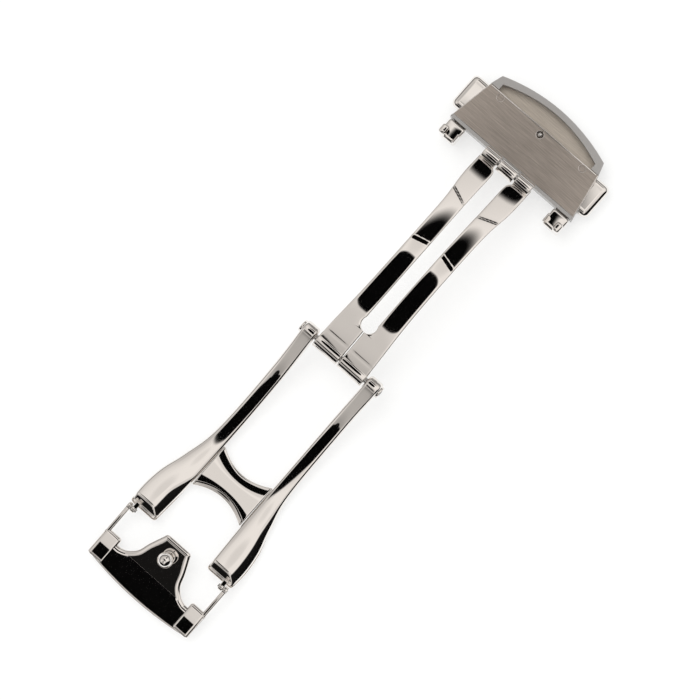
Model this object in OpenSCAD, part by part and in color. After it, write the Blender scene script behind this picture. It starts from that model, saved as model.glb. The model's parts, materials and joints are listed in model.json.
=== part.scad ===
// Deployant clasp for a leather watch strap, shown unfolded and lying on a table.
// +X runs from the strap holder to the cover, +Z points to the wrist side of the frame.

/* [Hinges and curve] */
// Distance from the central hinge to the cover hinge along the table
hinge_gap = 37.1; // [34:0.1:40]
// Radius of the wrist curve of arms and blades
wrist_r = 55; // [50:1:70]
// Length of the curved frame, hinge to free end, that sets where the curve is lowest
curve_span = 46.6; // [44:0.2:50]
// Radius of both hinge pins
pin_r = 0.5; // [0.4:0.05:0.6]
// Radial running clearance of a pin in its knuckle
pin_fit = 0.04; // [0.02:0.01:0.08]
// Radius of the knuckles at the central hinge
knuckle_r = 1.3; // [1.2:0.1:1.5]
// Radius of the knuckles at the cover hinge
cover_knuckle_r = 1.1; // [1:0.05:1.2]

/* [Frame] */
// Thickness of the two arms
arm_t = 1.6; // [1.2:0.1:1.8]
// Half the gap between the arms at the central hinge
arm_gap = 5; // [4.9:0.1:5.4]
// Distance of the arm tips from the central hinge
arm_tip = 36.5; // [36:0.1:36.8]
// Half the outer width of the arms at their tips
arm_tip_y = 10; // [9.6:0.1:10.4]
// How far the hinge bosses stand out of the arms
boss_h = 0.35; // [0.2:0.05:0.6]
// Thickness of the bridge between the arms
bridge_t = 0.8; // [0.6:0.1:1]
// Edge of the bridge nearer to the central hinge, at the arms
bridge_near = 21.2; // [20:0.1:22]
// Length of the bridge at the arms
bridge_len = 7.6; // [6.4:0.1:8.4]
// How far each edge of the bridge curves in at its middle
bridge_dip = 1.5; // [0.8:0.1:2]

/* [Blades] */
// Thickness of the blades
blade_t = 0.9; // [0.7:0.1:1]
// Half the outer width of the pair of blades at the central hinge
blade_y = 4.7; // [4.4:0.1:4.7]
// Half the outer width of the pair of blades at their waist
waist_y = 4.2; // [4:0.1:4.4]
// Half the slot between the blades
slot_y = 1.1; // [0.9:0.1:1.3]
// Radius of the round end of the slot
keyhole_r = 1.25; // [1.1:0.05:1.5]
// Distance of the round end of the slot from the central hinge
keyhole_x = 6.3; // [5.5:0.1:7]
// Thickness of the raised pad that crosses the bridge
pad_h = 0.12; // [0.05:0.01:0.2]

/* [Strap holder] */
// Thickness of the strap holder
holder_t = 1; // [0.8:0.1:1.1]
// Width of the strap that fits between the rails
strap_w = 18; // [18:0.1:18.2]
// Distance of the plate's inner edge from the central hinge
plate_x = 42.9; // [42.5:0.1:43.5]
// Length of the plate at the sides
plate_len = 3.5; // [3:0.1:4]
// How far the end of the plate bows out at its middle
end_bow = 0.9; // [0.5:0.1:1.2]
// Distance of the tab's tip from the central hinge
tab_tip = 36.4; // [36.2:0.1:37]
// Half the width of the tab's tip
tab_tip_y = 2.35; // [2:0.05:2.6]
// Rise of the tab above the rails at its tip
tab_rise = 1; // [0.8:0.1:1.2]
// Distance of the strap post from the central hinge
post_x = 39; // [38.6:0.1:39.6]
// Radius of the ball head of the strap post
ball_r = 1.2; // [1:0.05:1.3]
// Radius of the stem of the strap post
stem_r = 0.6; // [0.5:0.05:0.7]
// Length of the stem between the tab and the ball's middle
stem_len = 1.5; // [1.3:0.1:1.8]
// Lean of the strap post towards the free end
post_lean = 6; // [0:1:12]
// Angle by which the holder slopes down from the arm tips
holder_slope = 6; // [0:0.5:7]

/* [Cover] */
// Height of the cover shell
shell_h = 3.2; // [3:0.1:3.6]
// Distance of the cover's inner face below its hinge axis
face_drop = 1.3; // [1.3:0.05:1.5]
// Half the width of the cover at the hinge side
cover_y = 12; // [11.6:0.1:12.4]
// Half the width of the cover at the plate's far edge
cover_far_y = 10.6; // [10.4:0.1:11]
// Distance of the cover's near edge from its hinge axis
near_x = 0.8; // [0.7:0.1:1.2]
// Distance of the plate's far edge from the hinge axis
far_x = 8.5; // [8.2:0.1:8.8]
// Distance of the curved end's corners from the hinge axis
corner_x = 10.4; // [10:0.1:10.8]
// Half the width of the cover at the curved end's corners
corner_y = 10; // [9.9:0.1:10.3]
// How far the curved end bows out at its middle
cover_bow = 1.8; // [1.2:0.1:2.4]
// Wall of the shell
wall = 0.9; // [0.8:0.05:1]
// Floor of the shell
floor_t = 0.7; // [0.6:0.05:0.9]
// Thickness of the inner plate
plate_t = 0.5; // [0.4:0.05:0.6]
// Width of the shell's rim along the plate's near edge
plate_rim = 0.5; // [0.3:0.05:0.6]
// Depth of the pocket for the strap end
pocket_d = 1.7; // [1.4:0.1:2]
// Radius of the two rivets
rivet_r = 0.5; // [0.4:0.05:0.6]
// Distance of the rivets from the hinge axis
rivet_x = 7.7; // [7.4:0.05:7.8]
// Half the distance between the rivets
rivet_y = 8.1; // [7.8:0.1:8.3]
// Radius of the detent ball
detent_r = 0.45; // [0.35:0.05:0.5]
// Distance of the detent ball from the hinge axis
detent_x = 7.4; // [7.2:0.05:7.6]
// Radius of the bores that take the spring bar's tips
bar_r = 0.45; // [0.4:0.05:0.5]

/* [Pushers and latch] */
// Inner edge of the pushers, from the hinge axis
push_x = 2.3; // [2.2:0.05:2.5]
// Width of the pushers along the clasp
push_w = 6; // [5.6:0.1:6.2]
// Half the width across both pushers
push_y = 13.4; // [13:0.1:13.8]
// Half the distance between the pushers' inner faces
push_in = 10; // [9.9:0.1:10.2]
// Travel of each pusher
travel = 0.5; // [0.3:0.05:0.5]
// Running clearance around each pusher
push_fit = 0.05; // [0.03:0.01:0.08]
// Width of the groove of a hook, with room for the travel
groove_w = 1.5; // [1.4:0.05:1.6]
// Half the distance between the hooks' outer faces
hook_y = 11.8; // [11.6:0.1:12]
// Wall of a hook on the inner side of its groove
prong = 0.35; // [0.3:0.05:0.45]
// How far the hooks reach past the hinge axis
hook_reach = 2.3; // [2:0.1:2.4]
// Height of the hooks above the cover's inner face
hook_h = 2.3; // [2:0.1:2.4]
// Radius of the guide rod of the return springs
rod_r = 0.4; // [0.3:0.05:0.45]
// Outer radius of the return springs
spring_r = 0.85; // [0.75:0.05:0.9]
// Wire thickness of the return springs
wire_t = 0.3; // [0.25:0.05:0.35]

/* [Hidden] */
$fn = 64;

// Clearance between pieces that pass each other without touching
gap = 0.3;
// Small overlap that makes cuts clean
cut = 0.5;
// Height of a block that is taller than any piece
tall = 30;

// Curve: the arms' middle surface is an arc that starts at the central hinge
curve_x = curve_span / 2;
curve_z = sqrt(wrist_r * wrist_r - curve_x * curve_x);
sag = wrist_r - curve_z;
lift = sag + arm_t / 2;

// Blades lie on the outer side of the arc when folded, clear of the bridge
bridge_out = -0.15;
blade_in = 0.1;
blade_out = blade_in + blade_t;
axis_out = wrist_r + blade_in + 0.1 + cover_knuckle_r;
axis_z = sqrt(pow(axis_out, 2) - pow(hinge_gap - curve_x, 2)) - curve_z;
link_len = norm([hinge_gap, axis_z]);
cover_axis_h = shell_h + face_drop;
// Angle by which the blades are turned down so that the cover lies on the table
blade_turn = atan(axis_z / hinge_gap) + asin((lift - cover_axis_h) / link_len);
cover_axis_x = sqrt(pow(link_len, 2) - pow(lift - cover_axis_h, 2));

// Ends of the whole part, which set the place of its origin
free_end = -(plate_x + plate_len + end_bow);
cover_end = cover_axis_x + corner_x + cover_bow;
centre_x = (free_end + cover_end) / 2;

// Holder
rail_in = strap_w / 2 + 0.2;
rail_w = 0.7;
rail_out = rail_in + rail_w;
eye_r = 0.6;
holder_pin_r = 0.3;
holder_axis_x = -(arm_tip + eye_r + 0.15);
holder_z = curve_z - sqrt(pow(wrist_r, 2) - pow(arm_tip - curve_x, 2)) + 0.05;
tab_angle = atan(tab_rise / (plate_x - tab_tip));
lug_in = rail_in - 1;
lug_out = rail_in - 0.1;
post_z = holder_z + holder_t / 2 + (plate_x - post_x) * tan(tab_angle);

// Cover, measured from its hinge axis
face_z = -face_drop;
base_z = face_z - shell_h;
cavity_z = base_z + floor_t;
plate_z = face_z - plate_t;
push_z0 = cavity_z + push_fit;
push_z1 = plate_z - push_fit;
push_mid = (push_z0 + push_z1) / 2;
rod_x = push_x + push_w / 2;
bar_x = far_x + bar_r + 0.1;
bar_z = face_z - 1;
post_r = 0.75;
ledge = 0.6;
detent_z = face_z - detent_r + 0.1;
seat_y = 5.5;
hook_in = hook_y - 1.2 - groove_w - prong;
leg_y0 = hook_y - 2.2;
leg_y1 = hook_y - 0.7;
leg_z0 = push_z0 + 0.2;
leg_z1 = push_z1 - 0.2;

// Smooth curve through a list of points, with steps points on each stretch
function knot(p, i) = p[max(0, min(len(p) - 1, i))];
function blend4(a, b, c, d, t) = 0.5 * (2 * b + (c - a) * t + (2 * a - 5 * b + 4 * c - d) * t * t
    + (3 * b - a - 3 * c + d) * t * t * t);
function smooth(p, steps = 4) = [for (i = [0 : len(p) - 2], s = [0 : steps - 1])
    blend4(knot(p, i - 1), p[i], p[i + 1], knot(p, i + 2), s / steps), p[len(p) - 1]];
function flip(p) = [for (i = [len(p) - 1 : -1 : 0]) p[i]];
function arc_bow(x, y, bow, steps = 10) = [for (i = [-steps : steps])
    [x + bow * (1 - pow(i / steps, 2)), y * i / steps]];

module at_centre() {
    translate([-centre_x, 0, lift]) children();
}

module as_blades() {
    at_centre() rotate([0, blade_turn, 0]) children();
}

module as_cover() {
    at_centre() translate([cover_axis_x, 0, cover_axis_h - lift]) children();
}

// Band between two radii of the wrist curve, over the frame's whole width
module frame_band(r_in, r_out) {
    translate([-curve_x, tall / 2, curve_z]) rotate([90, 0, 0])
        linear_extrude(tall) difference() {
            circle(r = r_out, $fn = 720);
            circle(r = r_in, $fn = 720);
            translate([-2 * wrist_r, -wrist_r / 2]) square([4 * wrist_r, 3 * wrist_r]);
        }
}

// The same band for the blades, which arch the other way when unfolded
module blade_band(r_in, r_out) {
    rotate([0, 180, 0]) frame_band(r_in, r_out);
}

module across(y0, y1, r) {
    translate([0, y0, 0]) rotate([-90, 0, 0]) cylinder(h = y1 - y0, r = r);
}

// The same on one side of the middle: side is 1 for +Y and -1 for -Y
module beside(side, y0, y1, r) {
    across(side > 0 ? y0 : -y1, side > 0 ? y1 : -y0, r);
}

module upright(points) {
    translate([0, 0, -tall / 2]) linear_extrude(tall) polygon(points);
}

// Inner edge of an arm as seen from above, drawn in by inset
function arm_inner(inset = 0) = [for (p = smooth([[0, arm_gap], [-8, arm_gap - 0.2],
    [-22, arm_gap - 0.2], [-29, arm_gap - 0.1], [-arm_tip, arm_gap + 0.25]])) [p[0], p[1] - inset]];

// One arm, on the +Y side
module arm() {
    eye_y = arm_gap + 2.4;
    inner = arm_inner();
    outer = smooth([[0, eye_y], [-8, eye_y - 0.2], [-20, eye_y], [-26, eye_y + 1.2],
        [-30, arm_tip_y - 0.25], [-33.5, arm_tip_y + 0.15], [-arm_tip, arm_tip_y]]);
    color("gainsboro") at_centre() difference() {
        union() {
            intersection() {
                frame_band(wrist_r - arm_t / 2, wrist_r + arm_t / 2);
                upright(concat(inner, flip(outer)));
            }
            across(arm_gap, eye_y, knuckle_r);
            across(eye_y - cut, eye_y + boss_h, knuckle_r - 0.3);
            translate([holder_axis_x, 0, holder_z]) across(lug_in, lug_out, eye_r);
            translate([holder_axis_x, lug_in, holder_z - eye_r])
                cube([-arm_tip + cut - holder_axis_x, lug_out - lug_in, 2 * eye_r]);
        }
        across(arm_gap - cut, eye_y + boss_h + cut, pin_r);
        translate([holder_axis_x, 0, holder_z]) across(lug_in - cut, lug_out + cut, holder_pin_r);
    }
}

module arm_left() {
    arm();
}

module arm_right() {
    mirror([0, 1, 0]) arm();
}

module bridge() {
    half = arm_gap - 0.05;
    near = [for (p = arc_bow(0, half, -bridge_dip)) [p[0] - bridge_near, p[1]]];
    far = [for (p = arc_bow(0, half, bridge_dip)) [p[0] - bridge_near - bridge_len, p[1]]];
    color("whitesmoke") at_centre() difference() {
        intersection() {
            frame_band(wrist_r + bridge_out - bridge_t, wrist_r + bridge_out);
            upright(concat(near, flip(far)));
        }
        for (side = [0, 1]) mirror([0, side, 0]) bridge_relief();
    }
}

// Trims the bridge flush with the inner faces of the arms
module bridge_relief() {
    upright(concat(arm_inner(0.01), [[-arm_tip, arm_gap + 4], [0, arm_gap + 4]]));
}

module central_hinge_pin() {
    reach = arm_gap + 2.4 + boss_h;
    color("silver") at_centre() across(-reach, reach, pin_r);
}

module holder_pin() {
    color("silver") at_centre() translate([holder_axis_x, 0, holder_z])
        across(lug_in, rail_out, holder_pin_r);
}

module holder_pin_left() {
    holder_pin();
}

module holder_pin_right() {
    mirror([0, 1, 0]) holder_pin();
}

// Turns the strap holder about its own hinge
module as_holder() {
    at_centre() translate([holder_axis_x, 0, holder_z]) rotate([0, -holder_slope, 0])
        translate([-holder_axis_x, 0, -holder_z]) children();
}

// Level outline of the strap holder: rails, corner blocks and the bowed plate
module holder_outline() {
    end = [for (p = arc_bow(0, rail_out, -end_bow)) [p[0] - plate_x - plate_len, p[1]]];
    difference() {
        polygon(concat([[holder_axis_x, -rail_out]], end, [[holder_axis_x, rail_out]]));
        polygon([[holder_axis_x + cut, -rail_in], [-plate_x + 0.8, -rail_in],
            [-plate_x, -rail_in + 0.8], [-plate_x, rail_in - 0.8], [-plate_x + 0.8, rail_in],
            [holder_axis_x + cut, rail_in]]);
    }
}

// Tab that rises from the plate and carries the post
module holder_tab() {
    root = 6.4;
    side = smooth([[-tab_tip, tab_tip_y], [-tab_tip - 3, tab_tip_y + 1.2],
        [-plate_x + 1.6, root - 2.2], [-plate_x + 0.4, root - 1], [-plate_x - 0.3, root]]);
    mirrored = [for (p = flip(side)) [p[0], -p[1]]];
    run = plate_x - tab_tip;
    intersection() {
        upright(concat(side, mirrored));
        translate([0, tall / 2, 0]) rotate([90, 0, 0]) linear_extrude(tall) polygon([
            [-plate_x - cut, holder_z - holder_t / 2], [-plate_x, holder_z - holder_t / 2],
            [-plate_x + run, holder_z - holder_t / 2 + tab_rise],
            [-plate_x + run, holder_z + holder_t / 2 + tab_rise],
            [-plate_x, holder_z + holder_t / 2], [-plate_x - cut, holder_z + holder_t / 2]]);
    }
}

module strap_holder() {
    color("gainsboro") as_holder() difference() {
        union() {
            translate([0, 0, holder_z - holder_t / 2]) linear_extrude(holder_t) holder_outline();
            holder_tab();
            for (side = [0, 1]) mirror([0, side, 0])
                translate([holder_axis_x, 0, holder_z]) across(rail_in, rail_out, eye_r);
        }
        translate([holder_axis_x, 0, holder_z])
            across(-rail_out - cut, rail_out + cut, holder_pin_r + pin_fit);
        place_post() cylinder(h = tall, r = stem_r, center = true);
    }
}

module place_post() {
    translate([-post_x, 0, post_z]) rotate([0, -tab_angle - post_lean, 0]) children();
}

module strap_post() {
    color("whitesmoke") as_holder() place_post() {
        translate([0, 0, -holder_t]) cylinder(h = holder_t + stem_len, r = stem_r);
        translate([0, 0, stem_len]) sphere(r = ball_r);
    }
}

// One blade: side is 1 for +Y and -1 for -Y
module blade(side) {
    end_y = waist_y + 0.5;
    root = blade_y - 0.1;
    outer = smooth([[0, blade_y], [3, root], [12, waist_y], [26, waist_y], [32, end_y],
        [hinge_gap, end_y]]);
    inner = smooth([[keyhole_x + keyhole_r, slot_y], [20, slot_y], [30, slot_y + 0.1],
        [hinge_gap - 2.2, slot_y + 0.15], [hinge_gap - 1.4, slot_y + 0.7], [hinge_gap, slot_y + 0.7]]);
    slit = 0.08;
    pad_x0 = bridge_near - 1.4;
    pad_x1 = bridge_near + bridge_len + 0.9;
    plan = concat([[0, slit]], [[keyhole_x, slit]], inner, flip(outer));
    color("whitesmoke") as_blades() difference() {
        union() {
            intersection() {
                union() {
                    blade_band(wrist_r + blade_in, wrist_r + blade_out);
                    intersection() {
                        blade_band(wrist_r + blade_in, wrist_r + blade_out + pad_h);
                        translate([pad_x0, -tall / 2, -tall / 2]) cube([pad_x1 - pad_x0, tall, tall]);
                    }
                }
                upright([for (p = plan) [p[0], side * p[1]]]);
            }
            beside(side, slit, blade_y, knuckle_r);
            translate([hinge_gap, 0, axis_z])
                beside(side, slot_y + 0.7, end_y - 0.1, cover_knuckle_r);
        }
        across(-tall / 2, tall / 2, pin_r + pin_fit);
        translate([keyhole_x, 0, -tall / 2]) cylinder(h = tall, r = keyhole_r);
        translate([hinge_gap, 0, axis_z]) across(-tall / 2, tall / 2, pin_r + pin_fit);
    }
}

module blade_left() {
    blade(1);
}

module blade_right() {
    blade(-1);
}

module cover_hinge_pin() {
    reach = waist_y + 0.3;
    color("silver") as_cover() across(-reach, reach, pin_r);
}

// Top view of the cover, drawn in by inset all round
module cover_outline(inset = 0) {
    end = arc_bow(corner_x - inset, corner_y - inset, cover_bow);
    polygon(concat([[near_x + inset, -cover_y + inset], [far_x, -cover_far_y + inset]], end,
        [[far_x, cover_far_y - inset], [near_x + inset, cover_y - inset]]));
}

// Mechanism cavity, the seat of the plate above it, and the pocket for the strap end
module cover_hollow() {
    side_y = corner_y - wall;
    translate([0, 0, cavity_z]) linear_extrude(tall) intersection() {
        cover_outline(wall);
        translate([0, -tall / 2]) square([far_x - ledge, tall]);
    }
    translate([near_x + plate_rim, -tall / 2, plate_z])
        cube([far_x - near_x - plate_rim, tall, tall]);
    translate([0, 0, face_z - pocket_d]) linear_extrude(tall) intersection() {
        cover_outline(wall);
        translate([far_x, -side_y]) square([tall, 2 * side_y]);
    }
    translate([far_x - ledge / 2, -side_y, plate_z]) cube([ledge, 2 * side_y, tall]);
}

module cover_shell() {
    lug_y = slot_y + 0.4;
    slot_gap = push_fit * 2;
    color("darkgray") as_cover() difference() {
        union() {
            difference() {
                translate([0, 0, base_z]) linear_extrude(shell_h) cover_outline();
                cover_hollow();
                // Openings for the pushers
                for (side = [0, 1]) mirror([0, side, 0])
                    translate([push_x - push_fit, push_in - travel - gap, cavity_z])
                        cube([push_w + 2 * push_fit, tall, plate_z - cavity_z]);
                // Slots for the legs of the hooks
                for (side = [0, 1]) mirror([0, side, 0])
                    translate([near_x - cut, leg_y0 - travel - slot_gap, leg_z0 - slot_gap])
                        cube([wall + 2 * cut, leg_y1 - leg_y0 + travel + 2 * slot_gap,
                            leg_z1 - leg_z0 + 2 * slot_gap]);
            }
            // Seat of the guide rod and the springs
            translate([rod_x - 1.3, -seat_y, cavity_z - cut])
                cube([2.6, 2 * seat_y, plate_z - cavity_z + cut]);
            for (y = [-rivet_y, rivet_y]) translate([rivet_x, y, cavity_z - cut / 2])
                cylinder(h = plate_z - cavity_z + cut / 2, r = post_r);
            translate([detent_x, 0, cavity_z - cut / 2])
                cylinder(h = detent_z - detent_r - cavity_z + cut / 2, r = detent_r + 0.25);
            // Hinge lug between the blades
            across(-lug_y, lug_y, cover_knuckle_r);
            translate([0, -lug_y, face_z - 1]) cube([near_x + 0.2, 2 * lug_y, 1 + face_drop]);
        }
        across(-lug_y - cut, lug_y + cut, pin_r);
        translate([rod_x, 0, push_mid]) across(-seat_y - cut, seat_y + cut, rod_r);
        for (y = [-rivet_y, rivet_y]) translate([rivet_x, y, cavity_z])
            cylinder(h = tall, r = rivet_r);
        for (side = [0, 1]) mirror([0, side, 0]) translate([bar_x, 0, bar_z])
            across(corner_y - wall - cut, cover_y, bar_r);
    }
}

module cover_plate() {
    color("tan") as_cover() difference() {
        translate([0, 0, plate_z]) linear_extrude(plate_t) intersection() {
            cover_outline();
            translate([near_x + plate_rim, -tall / 2])
                square([far_x - near_x - plate_rim - 0.05, tall]);
        }
        for (y = [-rivet_y, rivet_y]) translate([rivet_x, y, plate_z - cut])
            cylinder(h = tall, r = rivet_r);
        translate([detent_x, 0, plate_z - cut]) cylinder(h = tall, r = detent_r + 0.1);
    }
}

module plate_rivets() {
    color("tan") as_cover() for (y = [-rivet_y, rivet_y])
        translate([rivet_x, y, cavity_z]) cylinder(h = face_z - cavity_z, r = rivet_r);
}

module detent_ball() {
    color("whitesmoke") as_cover()
        translate([detent_x, 0, detent_z]) sphere(r = detent_r);
}

module guide_rod() {
    reach = push_in + 1;
    color("silver") as_cover() translate([rod_x, 0, push_mid]) across(-reach, reach, rod_r);
}

// Return spring drawn at its pressed length, so it clears the pusher at full travel
module return_spring() {
    color("dimgray") as_cover() translate([rod_x, 0, push_mid]) difference() {
        across(seat_y, push_in - travel - 0.1, spring_r);
        across(seat_y - cut, push_in, spring_r - wire_t);
    }
}

module return_spring_left() {
    return_spring();
}

module return_spring_right() {
    mirror([0, 1, 0]) return_spring();
}

module pusher() {
    rounding = 0.7;
    color("gainsboro") as_cover() difference() {
        intersection() {
            translate([push_x, push_in, push_z0]) cube([push_w, push_y - push_in, push_z1 - push_z0]);
            // Rounded outer corners
            union() {
                translate([0, 0, push_z0]) cube([tall, push_y - rounding, tall]);
                for (x = [push_x + rounding, push_x + push_w - rounding])
                    translate([x, push_y - rounding, push_z0 - cut]) cylinder(h = tall, r = rounding);
                translate([push_x + rounding, push_in, push_z0])
                    cube([push_w - 2 * rounding, push_y - push_in, tall]);
            }
        }
        translate([rod_x, 0, push_mid]) across(push_in - cut, push_in + 1 + travel + 0.2, rod_r + push_fit);
    }
}

module pusher_left() {
    pusher();
}

module pusher_right() {
    mirror([0, 1, 0]) pusher();
}

// Forked hook that straddles a rail of the strap holder, with its leg into the pusher
module latch_hook() {
    round_r = 1.1;
    head_x = near_x - 0.15;
    head_y = hook_y - hook_in;
    head_z0 = leg_z0 - 0.3;
    top_z = face_z + hook_h;
    color("gainsboro") as_cover() {
        difference() {
            intersection() {
                translate([-hook_reach, hook_in, head_z0])
                    cube([hook_reach + head_x, head_y, top_z - head_z0]);
                // Rounded free end, seen from the side
                union() {
                    translate([-hook_reach + round_r, 0, head_z0]) cube([tall, tall, tall]);
                    translate([-hook_reach, 0, head_z0 + round_r])
                        cube([tall, tall, top_z - head_z0 - 2 * round_r]);
                    for (z = [head_z0 + round_r, top_z - round_r])
                        translate([-hook_reach + round_r, 0, z]) across(0, tall, round_r);
                }
            }
            translate([-hook_reach - cut, hook_in + prong, face_z - 0.15])
                cube([tall, groove_w, tall]);
            // Room for the arm tip beside the hinge when the clasp is shut
            translate([-0.75, hook_in - cut, face_z + 0.3]) cube([tall, tall, tall]);
        }
        translate([head_x - cut, leg_y0, leg_z0])
            cube([push_x - head_x + cut, leg_y1 - leg_y0, leg_z1 - leg_z0]);
    }
}

module latch_hook_left() {
    latch_hook();
}

module latch_hook_right() {
    mirror([0, 1, 0]) latch_hook();
}

arm_left();
arm_right();
bridge();
central_hinge_pin();
holder_pin_left();
holder_pin_right();
strap_holder();
strap_post();
blade_left();
blade_right();
cover_hinge_pin();
cover_shell();
cover_plate();
plate_rivets();
detent_ball();
guide_rod();
return_spring_left();
return_spring_right();
pusher_left();
pusher_right();
latch_hook_left();
latch_hook_right();
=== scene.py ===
"""Looks of an unfolded deployant clasp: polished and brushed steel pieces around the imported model."""
import json
from math import atan, cos, pi, radians, sin, sqrt

import bmesh
import bpy
import numpy as np
from mathutils import Matrix, Vector


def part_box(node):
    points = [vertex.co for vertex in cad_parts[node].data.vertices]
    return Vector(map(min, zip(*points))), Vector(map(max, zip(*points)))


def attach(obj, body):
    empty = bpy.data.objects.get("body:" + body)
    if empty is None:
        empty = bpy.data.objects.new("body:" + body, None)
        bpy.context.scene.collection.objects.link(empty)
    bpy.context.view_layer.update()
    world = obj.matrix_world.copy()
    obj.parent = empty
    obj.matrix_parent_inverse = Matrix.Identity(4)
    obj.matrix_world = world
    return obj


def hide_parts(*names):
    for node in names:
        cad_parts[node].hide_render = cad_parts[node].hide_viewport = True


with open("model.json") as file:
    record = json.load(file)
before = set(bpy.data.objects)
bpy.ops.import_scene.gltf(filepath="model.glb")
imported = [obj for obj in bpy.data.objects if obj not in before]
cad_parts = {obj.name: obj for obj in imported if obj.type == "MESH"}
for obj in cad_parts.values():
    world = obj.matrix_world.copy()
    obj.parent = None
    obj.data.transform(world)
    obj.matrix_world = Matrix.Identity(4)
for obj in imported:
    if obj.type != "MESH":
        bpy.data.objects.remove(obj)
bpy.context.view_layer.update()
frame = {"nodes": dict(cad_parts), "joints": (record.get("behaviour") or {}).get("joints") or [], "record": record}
MM = 0.001

# Driving sizes in millimetres, the same as in the part's source
WRIST_R = 55.0
CURVE_X = 46.6 / 2
CURVE_Z = sqrt(WRIST_R**2 - CURVE_X**2)
HINGE_GAP, KNUCKLE_GAP = 37.1, 0.1
ARM_T, ARM_GAP, ARM_TIP, ARM_TIP_Y, ARM_W = 1.6, 5.0, 36.5, 10.0, 2.4
EYE_Y = ARM_GAP + ARM_W
BOSS_H = 0.35
LUG_IN, LUG_OUT, LUG_R = 8.4, 9.1, 0.55
KNUCKLE_R, COVER_KNUCKLE_R = 1.3, 1.1
BLADE_IN, BLADE_T, BLADE_Y, WAIST_Y, SLOT_Y = 0.1, 0.9, 4.7, 4.2, 1.1
KEYHOLE_X, KEYHOLE_R, SLIT = 6.3, 1.25, 0.08
BRIDGE_X, BRIDGE_L, BRIDGE_DIP, BRIDGE_T, BRIDGE_OUT = 21.2, 7.6, 1.5, 0.8, -0.15
FACE_DROP, NEAR_X = 1.3, 0.8

# Strap holder, measured along its plate from its hinge
PLATE_NEAR, PLATE_FAR, END_BOW = -5.65, -9.15, 0.9
TAB_END, TAB_Y, TAB_RISE = 0.85, 2.35, 1.0
RAIL_IN, RAIL_OUT, WINDOW_R = 9.2, 9.9, 0.8
HOLDER_T, EYE_R = 1.0, 0.6
RIM_RUN, RIM_DEEP, FAR_RUN = 0.8, 0.42, 0.15
BLOCK_W, BLOCK_H, BLOCK_SLOPE = 1.45, 0.12, 0.045

# Blades' raised pad: its height, where its creases start at the slot and how far they run on outwards
PAD_H, PAD_NEAR, PAD_FAR, NEAR_V, FAR_V = 0.12, 20.6, 28.3, -0.8, 1.3
# Seam at the end of the rolled barrel: its place, half width and depth
SEAM_X, SEAM_HALF, SEAM_DEEP = 2.0, 0.12, 0.025

# Limits in degrees for the copies of CAD nodes: facets flatter than FLAT are merged, upward edges sharper
# than CREASE stay sharp, and edges sharper than BEVELLED are rounded
FLAT, CREASE, BEVELLED = 0.6, 3, 35
# A face points up where the upward part of its normal is more than this
UPWARD = 0.7
# Points along each rounded corner
CORNER_STEPS = 5

# Places worked out from the sizes and the frame: the central hinge, the cover hinge, the blades' turn
joints = {j["name"]: j for j in frame["joints"]}
HINGE = np.array(joints["central_hinge"]["pos_m"]) / MM
COVER_HINGE = np.array(joints["cover_hinge"]["pos_m"]) / MM
HOLDER_HINGE = np.array(joints["strap_holder_hinge"]["pos_m"]) / MM
FACE_Z = COVER_HINGE[2] - FACE_DROP
AXIS_OUT = WRIST_R + BLADE_IN + KNUCKLE_GAP + COVER_KNUCKLE_R
AXIS_Z = sqrt(AXIS_OUT**2 - (HINGE_GAP - CURVE_X) ** 2) - CURVE_Z
HINGE_LINE = COVER_HINGE - HINGE
BLADE_TURN = atan(AXIS_Z / HINGE_GAP) - atan(HINGE_LINE[2] / HINGE_LINE[0])


def linear(code):
    """Linear colour of an sRGB hex code."""
    parts = [int(code[i : i + 2], 16) / 255 for i in (1, 3, 5)]
    return [c / 12.92 if c <= 0.04045 else ((c + 0.055) / 1.055) ** 2.4 for c in parts] + [1.0]


def smoothstep(a, b, x):
    """Rises from 0 at a to 1 at b with level ends: t squared times (3 - 2t)."""
    t = np.clip((np.asarray(x, float) - a) / (b - a), 0, 1)
    return t * t * (3 - 2 * t)


def softened(t, soft):
    """Ramp with a rounded start: the root of t squared plus soft, less the root of soft."""
    return np.sqrt(t * t + soft) - sqrt(soft)


def curve(points, x, steps=12):
    """Height at x of the smooth curve through the points: Catmull-Rom cubics, read off in x."""
    p = np.array(points, float)
    p = np.vstack([p[0], p, p[-1]])
    t = np.linspace(0, 1, steps, endpoint=False)[:, None]
    run = [
        0.5 * (2 * b + (c - a) * t + (2 * a - 5 * b + 4 * c - d) * t**2 + (3 * b - a - 3 * c + d) * t**3)
        for a, b, c, d in zip(p[:-3], p[1:-2], p[2:-1], p[3:])
    ]
    run = np.vstack(run + [p[-1:]])
    order = np.argsort(run[:, 0])
    return np.interp(x, run[order, 0], run[order, 1])


def ring_shape(rings):
    """Vertices and faces of a closed solid through rings of points: quads between neighbouring rings, and
    a cap on the first and on the last."""
    rows, columns = rings.shape[:2]
    i, j = np.meshgrid(np.arange(rows - 1), np.arange(columns), indexing="ij")
    k = (j + 1) % columns
    quads = np.stack([i * columns + j, i * columns + k, (i + 1) * columns + k, (i + 1) * columns + j], -1)
    caps = [list(range(columns))[::-1], list(range((rows - 1) * columns, rows * columns))]
    return rings.reshape(-1, 3), quads.reshape(-1, 4).tolist() + caps


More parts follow.
